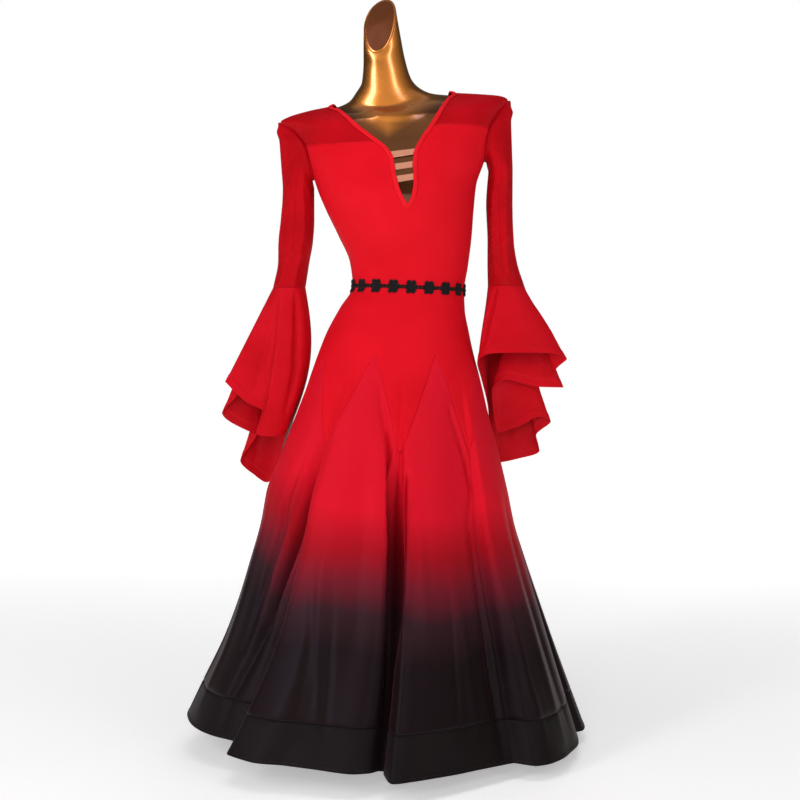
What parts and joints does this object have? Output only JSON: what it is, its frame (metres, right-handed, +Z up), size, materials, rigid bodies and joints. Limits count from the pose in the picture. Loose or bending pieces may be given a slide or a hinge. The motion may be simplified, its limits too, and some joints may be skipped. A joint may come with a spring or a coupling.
{
  "type": "ballroom dance dress on a limbless dress form",
  "caption": "Long-sleeved ballroom dance dress with a plunging neck, cascading sleeve flounces and a flared gored skirt dipped in a darker colour, on a limbless dress form.",
  "frame": {"origin": "middle of the underside of the round base", "axes": "+Z up; the dress faces -Y; +X is to the right as seen from the front"},
  "size_m": [0.7787, 0.8381, 1.4545],
  "materials": {
    "red_crepe": "matt stretch crepe",
    "red_mesh": "fine sheer stretch mesh",
    "dipped_georgette": "soft sheen georgette, dip dyed from red to black towards the hem",
    "black_georgette": "soft sheen georgette",
    "black_lace": "matt raised lace",
    "tan_elastic": "ribbed elastic",
    "gold_lacquer": "gloss metallic gold lacquer on fibreglass",
    "brushed_steel": "satin"
  },
  "bodies": {
    "root": {"bodice_front": "red_crepe", "bodice_back": "red_crepe", "yoke_left": "red_mesh", "yoke_right": "red_mesh", "yoke_back": "red_mesh", "sleeve_left": "red_mesh", "sleeve_right": "red_mesh", "flounce_left": "dipped_georgette", "flounce_right": "dipped_georgette", "gore_1": "dipped_georgette", "gore_2": "dipped_georgette", "gore_3": "dipped_georgette", "gore_4": "dipped_georgette", "gore_5": "dipped_georgette", "gore_6": "dipped_georgette", "gore_7": "dipped_georgette", "gore_8": "dipped_georgette", "hem_band_1": "black_georgette", "hem_band_2": "black_georgette", "hem_band_3": "black_georgette", "hem_band_4": "black_georgette", "neck_binding": "red_crepe", "strap_1": "tan_elastic", "strap_2": "tan_elastic", "strap_3": "tan_elastic", "belt": "black_lace", "form_torso": "gold_lacquer", "form_pole": "brushed_steel", "form_base": "brushed_steel"}
  },
  "joints": []
}
